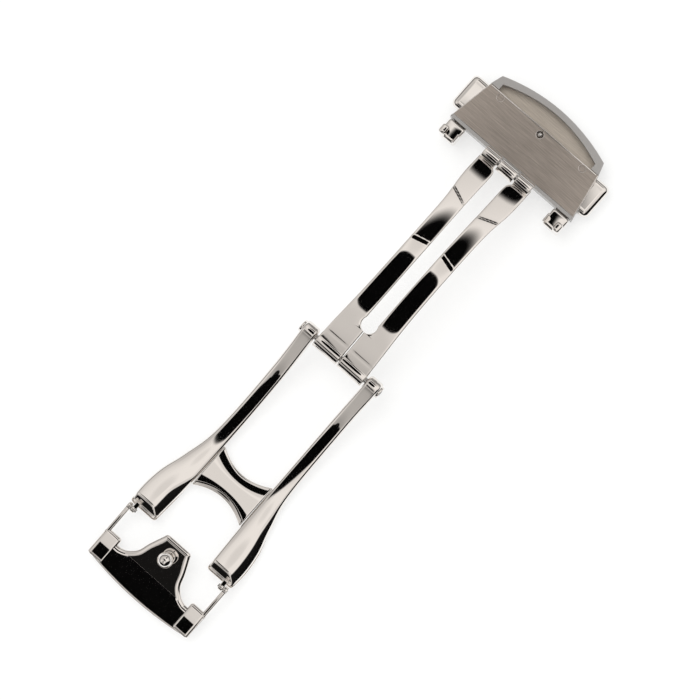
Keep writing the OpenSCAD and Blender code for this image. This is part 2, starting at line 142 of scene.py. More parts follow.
def section(w, t, edge, crown, across):
    """Rounded oblong, anticlockwise: straight sides at w and t from the middle, corners of radius edge.
    The upper side is raised by crown * (1 - (y / w) squared)."""
    turn = np.linspace(0, pi / 2, CORNER_STEPS)
    w, t, e, crown = (np.asarray(v, float)[:, None] for v in (w, t, edge, crown))
    parts_y, parts_z = [], []
    for q, (sy, sz) in enumerate([(1, 1), (-1, 1), (-1, -1), (1, -1)]):
        a = turn + q * pi / 2
        parts_y.append(sy * (w - e) + e * np.cos(a))
        parts_z.append(sz * (t - e) + e * np.sin(a))
        if q in (0, 2):
            f = np.linspace(1, -1, across + 2)[1:-1] * sy
            parts_y.append((w - e) * f)
            parts_z.append(sz * t + 0 * f)
    y, z = np.hstack(parts_y), np.hstack(parts_z)
    return y, z + crown * (1 - (y / w) ** 2) * (z > 0)


def sweep(centre, wide, high, w, t, edge=0.2, crown=0.0, lift=None, across=9):
    """Solid swept along centre: at each station the rounded oblong of half sizes w and t stands on the
    directions wide and high. Both ends are rounded by edge: at turn a the centre is e sin a further out and
    the half sizes are e (1 - cos a) less. lift(y, station) may raise the top."""
    n = len(centre)
    # Shares a little under 1, so that no ring and no straight side closes up
    end_share, corner_share = 0.999, 0.98
    wide, high = (np.broadcast_to(np.asarray(v, float), (n, 3)) for v in (wide, high))
    w, t, edge, crown = (np.broadcast_to(np.asarray(v, float), n).copy() for v in (w, t, edge, crown))
    turn = np.linspace(0, pi / 2, CORNER_STEPS)[1:]
    e = edge[0] * end_share

    def end(station, inner, turns):
        """Centres and half sizes of the stations that round one end."""
        out = centre[station] - centre[inner]
        out = out / np.linalg.norm(out)
        less = e * (1 - np.cos(turns))
        return centre[station] + out * (e * np.sin(turns))[:, None], w[station] - less, t[station] - less

    head, tail = end(0, 1, turn[::-1]), end(-1, -2, turn)
    path = np.vstack([head[0], centre, tail[0]])
    half_w, half_t = np.r_[head[1], w, tail[1]], np.r_[head[2], t, tail[2]]
    repeat = np.r_[[0] * len(turn), np.arange(n), [n - 1] * len(turn)]
    corner = np.minimum(edge[repeat], corner_share * np.minimum(half_w, half_t))
    y, z = section(half_w, half_t, corner, crown[repeat], across)
    if lift is not None:
        z = z + lift(y, repeat) * (z > 0)
    rings = path[:, None] + wide[repeat][:, None] * y[..., None] + high[repeat][:, None] * z[..., None]
    return ring_shape(rings)


def turned(start, along, profile, sides=48):
    """Solid of revolution about the line from start along a direction; profile lists (distance, radius)."""
    along = np.array(along, float) / np.linalg.norm(along)
    askew = [0.3, 0.2, 0.9]
    u = np.cross(along, askew)
    u /= np.linalg.norm(u)
    v = np.cross(along, u)
    d, r = np.array(profile, float).T
    a = np.linspace(0, 2 * pi, sides, endpoint=False)
    rim = np.cos(a)[:, None] * u + np.sin(a)[:, None] * v
    rings = np.array(start) + d[:, None, None] * along + r[:, None, None] * rim
    return ring_shape(rings)


def rounded_rod(start, end, r, edge=0.15):
    """Cylinder with rounded rims between two points."""
    start, end = np.array(start, float), np.array(end, float)
    length = np.linalg.norm(end - start)
    a = np.linspace(0, pi / 2, CORNER_STEPS)
    head = [(edge * (1 - cos(b)), r - edge + edge * sin(b)) for b in a]
    tail = [(length - d, q) for d, q in head[::-1]]
    return turned(start, end - start, head + tail)


def side_rod(at, side, inner, outer, r, edge=0.15):
    """Rounded rod across the clasp on one side of its middle, through at, from inner to outer."""
    return rounded_rod(at + [0, side * inner, 0], at + [0, side * outer, 0], r, edge)


def join_shapes(*shapes):
    """One list of vertices and faces from several."""
    verts, faces, base = [], [], 0
    for v, f in shapes:
        verts.append(np.asarray(v))
        faces += [[i + base for i in face] for face in f]
        base += len(v)
    return np.vstack(verts), faces


def add_piece(name, shape, material, body, nodes, sharp=40):
    """Object from vertices in millimetres about the frame's origin; it rides on body and replaces nodes.
    Edges of more than sharp degrees stay sharp."""
    verts, faces = shape
    mesh = bpy.data.meshes.new(name)
    mesh.from_pydata((np.asarray(verts) * MM).tolist(), [], faces)
    bm = bmesh.new()
    bm.from_mesh(mesh)
    bmesh.ops.recalc_face_normals(bm, faces=bm.faces)
    bm.to_mesh(mesh)
    bm.free()
    mesh.polygons.foreach_set("use_smooth", [True] * len(mesh.polygons))
    mesh.set_sharp_from_angle(angle=radians(sharp))
    mesh.materials.append(material)
    piece = bpy.data.objects.new(name, mesh)
    bpy.context.scene.collection.objects.link(piece)
    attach(piece, body)
    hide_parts(*nodes)


def eased(node, name, edge, materials, body, pick=None, rim=-1, clamp=False):
    """Copy of a CAD node with its facets merged and its edges rounded by a bevel; pick(centre, normal)
    gives the number of a face's material and rim that of the rounded edges."""
    mesh = frame["nodes"][node].data.copy()
    mesh.materials.clear()
    for material in materials:
        mesh.materials.append(material)
    bm = bmesh.new()
    bm.from_mesh(mesh)
    bmesh.ops.remove_doubles(bm, verts=bm.verts, dist=0.0001 * MM)
    bmesh.ops.dissolve_limit(bm, angle_limit=radians(FLAT), verts=bm.verts, edges=bm.edges)
    bm.normal_update()
    for face in bm.faces:
        face.smooth = True
        face.material_index = pick(face.calc_center_median() / MM, face.normal) if pick else 0
    for line in bm.edges:
        if len(line.link_faces) == 2 and min(f.normal.z for f in line.link_faces) > UPWARD:
            line.smooth = line.calc_face_angle() < radians(CREASE)
    bm.to_mesh(mesh)
    bm.free()
    mesh.name = name
    piece = bpy.data.objects.new(name, mesh)
    bpy.context.scene.collection.objects.link(piece)
    bevel = piece.modifiers.new("rounded edges", "BEVEL")
    bevel.width, bevel.segments = edge * MM, 3
    bevel.limit_method, bevel.angle_limit = "ANGLE", radians(BEVELLED)
    bevel.material, bevel.use_clamp_overlap = rim, clamp
    weight = piece.modifiers.new("flat faces", "WEIGHTED_NORMAL")
    weight.keep_sharp = True
    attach(piece, body)
    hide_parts(node)


# Materials

def new_material(name, values):
    """Node material whose shader has these input values; also its node tree and the shader."""
    material = bpy.data.materials.new(name)
    material.use_nodes = True
    tree = material.node_tree
    shader = tree.nodes["Principled BSDF"]
    for key, value in values.items():
        shader.inputs[key].default_value = value
    return material, tree, shader


def add_node(tree, kind, settings=(), links=()):
    """Adds a node: settings sets its properties and inputs, and links joins an input to a socket or to the
    first output of a node."""
    node = tree.nodes.new(kind)
    for key, value in dict(settings).items():
        if isinstance(key, str) and hasattr(node, key):
            setattr(node, key, value)
        else:
            node.inputs[key].default_value = value
    for target, source in links:
        socket = source if isinstance(source, bpy.types.NodeSocket) else source.outputs[0]
        tree.links.new(node.inputs[target], socket)
    return node


def polished_steel(name, tint, roughness=0.035):
    """Mirror-polished stainless steel: a clean reflection, slightly uneven from the buffing."""
    material, tree, shader = new_material(name, {"Metallic": 1.0, "Base Color": linear(tint)})
    place = add_node(tree, "ShaderNodeTexCoord").outputs["Object"]
    # Buffing leaves swells about 4 mm wide; deeper ones would bend the reflections too far
    swells = {"Scale": 1 / (4 * MM), "Detail": 2.0}
    swell = add_node(tree, "ShaderNodeTexNoise", swells, [("Vector", place)])
    bump = add_node(tree, "ShaderNodeBump", {"Strength": 0.05, "Distance": 0.05 * MM}, [("Height", swell)])
    # Fine wipe marks about 0.5 mm wide change the gloss a little
    marks = {"Scale": 1 / (0.5 * MM), "Detail": 3.0}
    wipe = add_node(tree, "ShaderNodeTexNoise", marks, [("Vector", place)])
    shares = {"To Min": roughness * 0.7, "To Max": roughness * 1.5}
    gloss = add_node(tree, "ShaderNodeMapRange", shares, [("Value", wipe)])
    tree.links.new(shader.inputs["Normal"], bump.outputs[0])
    tree.links.new(shader.inputs["Roughness"], gloss.outputs[0])
    return material


def brushed_steel(name, dark, light, roughness=0.38, line=0.12):
    """Satin steel brushed across the clasp: fine lines along Y with a soft wide glow. The lines are line
    millimetres apart and 50 times as long, coarser than real brushing, so that they show."""
    material, tree, shader = new_material(name, {"Metallic": 1.0})
    place = add_node(tree, "ShaderNodeTexCoord").outputs["Object"]
    longer = 50
    scale = (1 / (line * MM), 1 / (line * longer * MM), 1 / (line * MM))
    lines = add_node(tree, "ShaderNodeMapping", {"Scale": scale}, [("Vector", place)])
    fine = {"Scale": 1.0, "Detail": 4.0, "Roughness": 0.65}
    grain = add_node(tree, "ShaderNodeTexNoise", fine, [("Vector", lines)])
    middle = {"From Min": 0.3, "From Max": 0.7}
    contrast = add_node(tree, "ShaderNodeMapRange", middle, [("Value", grain)])
    tones = {"data_type": "RGBA", 6: linear(dark), 7: linear(light)}
    colour = add_node(tree, "ShaderNodeMix", tones, [(0, contrast)])
    shares = {"To Min": roughness * 0.8, "To Max": roughness * 1.25}
    gloss = add_node(tree, "ShaderNodeMapRange", shares, [("Value", grain)])
    bump = add_node(tree, "ShaderNodeBump", {"Strength": 0.25, "Distance": 0.02 * MM}, [("Height", grain)])
    tree.links.new(shader.inputs["Base Color"], colour.outputs[2])
    tree.links.new(shader.inputs["Roughness"], gloss.outputs[0])
    tree.links.new(shader.inputs["Normal"], bump.outputs[0])
    return material


def blasted_steel(name, tint):
    """Bead-blasted steel: an even grey with a grit of about 0.1 mm, no clear reflection."""
    values = {"Metallic": 1.0, "Base Color": linear(tint), "Roughness": 0.55}
    material, tree, shader = new_material(name, values)
    place = add_node(tree, "ShaderNodeTexCoord").outputs["Object"]
    grains = {"Scale": 1 / (0.1 * MM), "Detail": 2.0}
    grit = add_node(tree, "ShaderNodeTexNoise", grains, [("Vector", place)])
    bump = add_node(tree, "ShaderNodeBump", {"Strength": 0.3, "Distance": 0.02 * MM}, [("Height", grit)])
    tree.links.new(shader.inputs["Normal"], bump.outputs[0])
    return material


POLISHED = polished_steel("mirror_polished_steel", "#F0ECE8")
PLATE_STEEL = brushed_steel("satin_brushed_plate", "#A0978F", "#CFC5BC", line=0.07)
# The pocket is brushed like the plate; its tones are painted lighter than the plate's to cancel the shade that
# falls in the pocket
POCKET_STEEL_PAINTED_LIGHTER = brushed_steel("brushed_pocket_painted_lighter", "#C4BBB0", "#EDE4D8", roughness=0.42, line=0.07)
RIM_STEEL = blasted_steel("bead_blasted_rim", "#D0CFCE")
PIN_STEEL = polished_steel("polished_pins", "#DAD8D6", roughness=0.08)
WIRE_STEEL = brushed_steel("drawn_spring_wire", "#7C7B78", "#9A9996", line=0.2)


# Curved paths of the frame and the blades

def arc_frame(x, out=0.0, sign=1):
    """Points at x on an arc of the wrist's radius, moved out from it, with the direction towards the viewer.
    The frame's arc (sign 1) opens upward: its middle is CURVE_X before the hinge and CURVE_Z above it. The
    blades' arc (sign -1) is that one turned upside down, and then turned down at the hinge by BLADE_TURN."""
    x = np.asarray(x, float)
    s = (x + sign * CURVE_X) / WRIST_R
    c = np.sqrt(1 - s * s)
    at_x, at_z = -sign * CURVE_X + (WRIST_R + out) * s, sign * (CURVE_Z - (WRIST_R + out) * c)
    point, high = np.stack([at_x, 0 * x, at_z], -1), np.stack([-sign * s, 0 * x, c], -1)
    if sign == 1:
        return point + HINGE, high
    c, s = cos(BLADE_TURN), sin(BLADE_TURN)
    down = np.array([[c, 0, s], [0, 1, 0], [-s, 0, c]])
    return point @ down.T + HINGE, high @ down.T


def between(inner, outer, side):
    """Offset to the middle between two outlines on one side."""
    return np.array([0.0, side, 0.0]) * ((inner + outer) / 2)[:, None]


def arm(side):
    """One arm: a crowned, rounded bar along the wrist arc between its inner and outer outlines, swelling
    into the eye at the central hinge, with the boss outside and the holder's hinge lug at its tip."""
    edge, crown_share, deepest = 0.42, 0.075, 1.2
    swell_x, swell_slope, swell_soft = -7, 0.036, 0.5
    tip_run, tip_slope, tip_soft = 1.5, 1.05, 0.02
    flank_from, flank_on, flank_slope, flank_soft = 0.3, 0.9, 0.5, 0.01
    eye_round, boss_in, lug_round, web_end, web_round = 0.45, 0.3, 0.1, 0.4, 0.08
    x = np.linspace(-ARM_TIP + edge, 0, 200)
    inner = curve([(-ARM_TIP, ARM_GAP + 0.25), (-29, ARM_GAP - 0.1), (-22, ARM_GAP - 0.2),
                   (-8, ARM_GAP - 0.2), (0, ARM_GAP)], x)
    outer = curve([(-ARM_TIP, ARM_TIP_Y), (-33.5, ARM_TIP_Y + 0.15), (-30, ARM_TIP_Y - 0.25),
                   (-26, EYE_Y + 1.2), (-20, EYE_Y), (-8, EYE_Y - 0.2), (0, EYE_Y)], x)
    middle, high = arc_frame(x)
    swell = x - swell_x + np.sqrt((x - swell_x) ** 2 + swell_soft)
    w, thick = (outer - inner) / 2, ARM_T / 2 + swell_slope * swell
    crown = crown_share * w * (1 - smoothstep(-3, -0.4, x))
    # Where the flank facet starts across the bar: nearest the middle at 0, past the edge at 1
    if side > 0:
        start = smoothstep(-33, -24, x)
    else:
        start = 0.55 * smoothstep(-30, -18, x) + 0.4 * smoothstep(-4, -1, x)

    def roll(y, station):
        """Drop of the top, the fourth root of tip^4 + flank^4 and at most 1.2 mm. Both facets start
        rounded: tip falls by 1.05 per mm over the last 1.5 mm, and flank by 0.5 per mm beyond a line that
        nears the middle from the -Y edge towards the tip."""
        t = np.clip(-x[station][:, None] - ARM_TIP + tip_run + 0 * y, 0, None)
        line = w[station][:, None] * (flank_from + flank_on * start[station][:, None])
        tip = tip_slope * softened(t, tip_soft)
        flank = flank_slope * softened(np.clip(-side * y - line, 0, None), flank_soft)
        return -np.minimum((tip**4 + flank**4) ** 0.25, deepest)

    across = [0, side, 0]
    bar = sweep(middle + between(inner, outer, side), across, high, w, thick - crown / 2, edge, crown, roll)
    eye = side_rod(HINGE, side, ARM_GAP, EYE_Y, KNUCKLE_R, eye_round)
    boss = side_rod(HINGE, side, EYE_Y - boss_in, EYE_Y + BOSS_H, KNUCKLE_R - boss_in)
    lug = side_rod(HOLDER_HINGE, side, LUG_IN, LUG_OUT, LUG_R, lug_round)
    web_x = np.linspace(HOLDER_HINGE[0], HINGE[0] - ARM_TIP + web_end, 6)
    web_at = [web_x, 0 * web_x + side * (LUG_IN + LUG_OUT) / 2, 0 * web_x + HOLDER_HINGE[2]]
    web_w, web_t = (LUG_OUT - LUG_IN) / 2, LUG_R - lug_round
    web = sweep(np.stack(web_at, -1), across, [0, 0, 1], web_w, web_t, web_round)
    return join_shapes(bar, eye, boss, lug, web)


def blade(side):
    """One blade: a thin rounded bar on the blades' arc, from its barrel at the central hinge past the
    keyhole and along the slot to its knuckle on the cover, with the raised pad that crosses the bridge."""
    edge, crown, room = 0.16, 0.05, 0.06
    first, before, after, last, turn = 0.2, 4.9, 7.2, HINGE_GAP - 0.2, 2.2
    end_y, knuckle_y = WAIST_Y + 0.5, SLOT_Y + 0.7
    around_hole = KEYHOLE_X - KEYHOLE_R * np.cos(np.linspace(0, turn, 40))
    x = np.unique(np.r_[np.linspace(first, before, 24), around_hole, np.linspace(after, last, 130)])
    outer = curve([(0, BLADE_Y), (3, BLADE_Y - 0.1), (12, WAIST_Y), (26, WAIST_Y), (32, end_y),
                   (HINGE_GAP, end_y)], x)
    slot = curve([(KEYHOLE_X, SLOT_Y), (20, SLOT_Y), (30, SLOT_Y + 0.1), (HINGE_GAP - 2.2, SLOT_Y + 0.15),
                  (HINGE_GAP - 1.4, knuckle_y), (HINGE_GAP, knuckle_y)], x)
    hole = np.sqrt(np.clip(KEYHOLE_R**2 - (x - KEYHOLE_X) ** 2, 0, None))
    inner = np.where(x < KEYHOLE_X, np.maximum(SLIT, hole), np.maximum(slot, hole))
    half = BLADE_T / 2
    middle, high = arc_frame(x, BLADE_IN + half, -1)
    w = (outer - inner) / 2
    near_soft, far_soft, seam_share = 0.2, 0.25, 0.8

    def pad(y, station):
        """Raised pad over the bridge's place, between two smooth steps at creases that run in a V; and the
        seam where the sheet rolled into the barrel ends, a bell-shaped groove across 0.8 of the width."""
        at = x[station][:, None] + 0 * y
        across = y / w[station][:, None]
        part = 0.5 + 0.5 * across
        near, far = PAD_NEAR + NEAR_V * part, PAD_FAR + FAR_V * part
        rise = smoothstep(near - near_soft, near + near_soft, at)
        fall = smoothstep(far - far_soft, far + far_soft, at)
        seam = SEAM_DEEP * np.exp(-(((at - SEAM_X) / SEAM_HALF) ** 2)) * (np.abs(across) < seam_share)
        return PAD_H * rise * (1 - fall) - seam

    path = middle + between(inner, outer, side)
    bar = sweep(path, [0, side, 0], high, w, half - room, edge, crown, pad)
    barrel = side_rod(HINGE, side, SLIT, BLADE_Y, KNUCKLE_R, 0.2)
    knuckle = side_rod(COVER_HINGE, side, knuckle_y, end_y - 0.1, COVER_KNUCKLE_R)
    return join_shapes(bar, barrel, knuckle)


def bridge_shape():
    """Hourglass bridge: an oblong section whose length along X is set by two concave bows, carried across
    from arm to arm; its top is flat in the middle and both edges roll down."""
    short, edge = 0.25, 0.15
    half = ARM_GAP - short
    y = np.linspace(-half + edge, half - edge, 60)
    dip = BRIDGE_DIP * (1 - (y / half) ** 2)
    near, far = -BRIDGE_X - dip, -BRIDGE_X - BRIDGE_L + dip
    middle, high = arc_frame((near + far) / 2, BRIDGE_OUT - BRIDGE_T / 2)
    centre = middle + np.stack([0 * y, y, 0 * y], -1)
    wide = np.stack([high[:, 2], 0 * y, -high[:, 0]], -1)
    w = (near - far) / 2
    near_flat, near_deep, far_flat, far_deep = 0.2, 0.45, 0.45, 0.3

    def roll(along, station):
        """Drop at u half lengths from the middle: 0.45 times the square of (u - 0.2) / 0.8 towards the
        central hinge, 0.3 times that of (-u - 0.45) / 0.55 towards the holder."""
        u = along / w[station][:, None]
        near_roll = np.clip((u - near_flat) / (1 - near_flat), 0, None)
        far_roll = np.clip((-u - far_flat) / (1 - far_flat), 0, None)
        return -near_deep * near_roll**2 - far_deep * far_roll**2

    return sweep(centre, wide, high, w, BRIDGE_T / 2, edge, lift=roll, across=31)


def pusher(side, word):
    """Pusher: an oblong pad with soft corners, carried outwards, its outer end rounded the same way."""
    edge, inner, outer, crown = 0.9, 10.0, 13.4, 0.08
    low, high = (np.array(corner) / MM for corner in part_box(f"pusher_{word}"))
    middle, half = (low + high) / 2, (high - low) / 2
    y = np.linspace(inner + edge, outer - edge, 12) * side
    centre = np.stack([0 * y + middle[0], y, 0 * y + middle[2]], -1)
    return sweep(centre, [1, 0, 0], [0, 0, 1], half[0], half[2] - crown / 2, edge, crown)


def hook(side):
    """Forked hook: a rounded body across the rail's end, and two rounded prongs beside the groove."""
    reach, head, step = 2.3, 0.65, -0.75
    inner, prong, groove, outer = 8.75, 0.35, 1.5, 11.8
    top, seat, foot = 1.0, -1.45, -3.85
    inner_sunk, outer_sunk = 0.4, 0.6

    def block(x0, x1, y0, y1, z0, z1, edge):
        """Upright block about the cover hinge with all its edges rounded."""
        z = np.linspace(z0 + edge, z1 - edge, 6)
        centre = COVER_HINGE + np.stack([0 * z + (x0 + x1) / 2, 0 * z + side * (y0 + y1) / 2, z], -1)
        return sweep(centre, [1, 0, 0], [0, 1, 0], (x1 - x0) / 2, (y1 - y0) / 2, edge)

    return join_shapes(
        block(-reach, head, inner, outer, foot, seat, 0.4),
        block(-reach, step, inner, inner + prong, seat - inner_sunk, top, 0.16),
        block(-reach, step, inner + prong + groove, outer, seat - outer_sunk, top, 0.36),
    )


def mount_axis(name):
    """Axis of one of the part's mounts."""
    return np.array(next(m for m in frame["record"]["mounts"] if m["name"] == name)["axis"], float)


def distance_to(line, points):
    """Shortest distance from each point to a line of short straight pieces."""
    a, b = line[:-1], line[1:]
    d = b - a
    t = np.clip(((points[:, None] - a) * d).sum(-1) / (d * d).sum(-1), 0, 1)
    return np.linalg.norm(points[:, None] - a - t[..., None] * d, axis=-1).min(1)


def rolled(d, run, deep):
    """Drop of a rounded edge at distance d from it: a quarter ellipse that runs in and reaches down."""
    return deep * (1 - np.sqrt(1 - np.clip(1 - d / run, 0, 1) ** 2))


def holder_near(y):
    """Edge of the holder's plate towards the hinge: straight, drawn out into the tab along a smooth curve,
    and with quarter circles of WINDOW_R at the windows' ends."""
    tab_flat, tab_foot = TAB_Y - 0.6, 6.4
    y = np.abs(y)
    tab = curve([(tab_flat, TAB_END), (TAB_Y - 0.05, TAB_END - 0.16), (TAB_Y + 0.22, TAB_END - 0.7),
                 (3.55, -2.15), (4.2, -4.05), (5.4, -5.25), (tab_foot, PLATE_NEAR)], y)
    edge = np.where(y < tab_flat, TAB_END, np.where(y < tab_foot, tab, PLATE_NEAR))
    into = np.clip(y - (RAIL_IN - WINDOW_R), 0, WINDOW_R)
    return edge + WINDOW_R - np.sqrt(WINDOW_R**2 - into**2)


def holder_panel(along, up):
    """Bowed plate and tab as one sheet. Its height at a point is that of the plate's plane, raised along
    the tab, less a quarter ellipse of the distance to the outline: a broad one round the tab and the
    windows, a narrow one at the free end."""
    y = np.unique(np.round(np.r_[np.linspace(-RAIL_OUT, RAIL_OUT, 301), -TAB_Y, TAB_Y], 5))
    far = PLATE_FAR - END_BOW * (1 - (y / RAIL_OUT) ** 2)
    near = holder_near(y)
    # Rows of points: close together at both edges, and two on the crease where the tab starts to rise
    ease = np.linspace(0, 1, 11) ** 2
    share = np.r_[0.01, np.linspace(0, 1, 12)[1:-1]]
    hair, before_rim, beyond_rim = 0.004, 0.1, 0.09
    crease = np.minimum(PLATE_NEAR - hair, near - RIM_RUN - before_rim)
    beyond = np.minimum(PLATE_NEAR + hair, near - RIM_RUN - beyond_rim)
    x = np.hstack([
        far[:, None] + FAR_RUN * ease,
        (far + FAR_RUN)[:, None] + (crease - far - FAR_RUN)[:, None] * np.r_[1 - share[::-1], 1],
        beyond[:, None] + (near - RIM_RUN - beyond)[:, None] * np.r_[0, share],
        near[:, None] - RIM_RUN * ease[::-1],
    ])
    flat = np.stack([x, np.broadcast_to(y[:, None], x.shape)], -1).reshape(-1, 2)
    near_line, far_line = np.stack([near, y], -1), np.stack([far, y], -1)
    sides = [np.stack([far_line[k], near_line[k]]) for k in (0, -1)]
    to_near = distance_to(near_line, flat)
    to_far = np.minimum.reduce([distance_to(line, flat) for line in [far_line] + sides])
    plane = TAB_RISE * np.clip((flat[:, 0] - PLATE_NEAR) / (TAB_END - PLATE_NEAR), 0, 1)
    drop = np.maximum(rolled(to_near, RIM_RUN, RIM_DEEP), rolled(to_far, FAR_RUN, FAR_RUN))
    lift = rolled(np.minimum(to_near, to_far), FAR_RUN, FAR_RUN)
    sheet = flat[:, :1] * along + flat[:, 1:] * [0, 1, 0] + HOLDER_HINGE
    upper = sheet + (plane + HOLDER_T / 2 - drop)[:, None] * up
    under = sheet + (plane - HOLDER_T / 2 + lift)[:, None] * up
    upper, under = (surface.reshape(x.shape + (3,)) for surface in (upper, under))
    return ring_shape(np.hstack([upper, under[:, ::-1]]))


def holder_shape():
    """Plate with its rails, hinge eyes and corner blocks: each block rises level from its rail and then
    follows the plate."""
    rail_on, rail_round, eye_round = 1.5, 0.24, 0.12
    block_far, block_near, block_round, bend_before, bend_soft = 0.18, 0.7, 0.42, 1.2, 0.05
    up = mount_axis("strap_seat")
    up = up if up[2] > 0 else -up
    along = np.array([up[2], 0, -up[0]])
    parts = [holder_panel(along, up)]
    for side in (1, -1):
        across = [0, side, 0]
        x = np.linspace(PLATE_NEAR - rail_on, 0, 12)
        rail = HOLDER_HINGE + [0, side * (RAIL_OUT + RAIL_IN) / 2, 0] + x[:, None] * along
        parts.append(sweep(rail, across, up, (RAIL_OUT - RAIL_IN) / 2, HOLDER_T / 2, rail_round))
        parts.append(side_rod(HOLDER_HINGE, side, RAIL_IN, RAIL_OUT, EYE_R, eye_round))
        x = np.linspace(PLATE_FAR + block_far, PLATE_NEAR + block_near, 24)
        bend = PLATE_NEAR - bend_before - x
        tall = BLOCK_H - BLOCK_SLOPE * (-bend + np.sqrt(bend**2 + bend_soft)) / 2
        block = HOLDER_HINGE + x[:, None] * along + (tall / 2)[:, None] * up
        block = block + [0, side * (RAIL_OUT - BLOCK_W), 0]
        parts.append(sweep(block, across, up, BLOCK_W, (HOLDER_T + tall) / 2, block_round))
    return join_shapes(*parts)


def post_shape():
    """Strap post: a stem and a ball head turned about the post's leaning axis."""
    ball_r, stem_r, stem, buried = 1.2, 0.6, 2.4, 0.2
    low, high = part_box("strap_post")
    axis = mount_axis("strap_post")
    axis /= np.linalg.norm(axis)
    top = np.array([low.x / MM + ball_r, 0, high.z / MM - ball_r])
    neck = pi - atan(stem_r / sqrt(ball_r**2 - stem_r**2))
    ball = [(stem + ball_r * cos(b), ball_r * sin(b)) for b in np.linspace(neck, 0.01, 40)]
    return turned(top - axis * stem, axis, [(buried, stem_r)] + ball, sides=64)


SLOT_STEEL = {"pins": PIN_STEEL, "springs": WIRE_STEEL, "plate": PLATE_STEEL}
for node, piece in frame["nodes"].items():
    slot = next(s["material_slot"] for s in frame["record"]["subparts"] if s["node"] == node)
    piece.data.materials.clear()
    piece.data.materials.append(SLOT_STEEL.get(slot, POLISHED))

for side, word in ((1, "left"), (-1, "right")):
    release = f"{word}_release"
    add_piece(f"polished_arm_{word}", arm(side), POLISHED, "frame", [f"arm_{word}"])
    add_piece(f"polished_blade_{word}", blade(side), POLISHED, "blades", [f"blade_{word}"])
    button = pusher(side, word)
    add_piece(f"polished_pusher_{word}", button, POLISHED, release, [f"pusher_{word}"])
    add_piece(f"polished_hook_{word}", hook(side), POLISHED, release, [f"latch_hook_{word}"])
add_piece("polished_bridge", bridge_shape(), POLISHED, "frame", ["bridge"])
add_piece("polished_post", post_shape(), POLISHED, "holder", ["strap_post"])
add_piece("polished_strap_holder", holder_shape(), POLISHED, "holder", ["strap_holder"])

SHELL_STEELS = [RIM_STEEL, POCKET_STEEL_PAINTED_LIGHTER, POLISHED]


def shell_finish(centre, normal):
    """Number in SHELL_STEELS for a face: polished hinge lug and outer face, which lies on the table, brushed
    pocket and cavity, whose steel is painted lighter than the plate's against their shade, and blasted rim and
    walls."""
    rim, pocket, polished = 0, 1, 2
    slack, below, foot = 0.05, 0.3, 0.2
    if centre.x < COVER_HINGE[0] + NEAR_X - slack:
        return polished
    if normal.z > UPWARD and centre.z < FACE_Z - below:
        return pocket
    return polished if normal.z < -UPWARD and centre.z < foot else rim


def plate_edge():
    """Bright line where the brushed plate ends above the pocket: a thin polished rod along its far edge."""
    radius, above, reach = 0.14, 0.03, 10.4
    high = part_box("cover_plate")[1]
    at = np.array([high.x / MM - radius, 0, high.z / MM - radius + above])
    return side_rod(at, 1, -reach, reach, radius, 0.1)


eased("cover_shell", "cover_shell_case", 0.18, SHELL_STEELS, "cover", shell_finish, clamp=True)
eased("cover_plate", "brushed_cover_plate", 0.1, [PLATE_STEEL, POLISHED], "cover", rim=1)
add_piece("polished_plate_edge", plate_edge(), POLISHED, "cover", ["cover_plate"])


# Floor, light and camera

def stage_floor():
    """Pale plain floor that keeps the clasp's soft shadow."""
    bpy.ops.mesh.primitive_plane_add(size=4)
    floor = bpy.context.object
    floor.name = "floor"
    floor.location.z = -0.02 * MM
    values = {"Base Color": linear("#B4B4B3"), "Roughness": 0.9, "Specular IOR Level": 0.0,
              "Emission Color": linear("#FFFFFF"), "Emission Strength": 0.55}
    floor.data.materials.append(new_material("pale_floor", values)[0])


def direction(azimuth, elevation):
    """Unit vector; azimuth 0 is +X and 90 is +Y, elevation above the table, in degrees."""
    a, e = radians(azimuth), radians(elevation)
    return (cos(a) * cos(e), sin(a) * cos(e), sin(e))


# Dark and grey places of the tent in the metal's mirror image, as (azimuth, elevation, inner and outer half
# angle, brightness left). The first is the tent's open front, beyond the lower right of the photo
DARK_SPOTS = [
    (255, 8, 42, 50, 0.01),
    (180, 40, 4, 30, 0.55),
    (183, 2, 29, 34, 0.02),
    (173, 56, 3.5, 5, 0.02),
    (168, 62, 10, 22, 0.7),
    (80, 30, 10, 55, 0.7),
    (20, 25, 10, 40, 0.8),
    (95, 64, 2, 20, 0.74),
    (262, 66, 2, 17, 0.78),
    (78, 86, 0, 5, 0.86),
    (15, 74, 1, 7, 0.82),
]
# Heights, as the upward part of a direction, between which the tent brightens from this share to full
LOW, HIGH, LOW_SHARE = 0.05, 0.75, 0.2


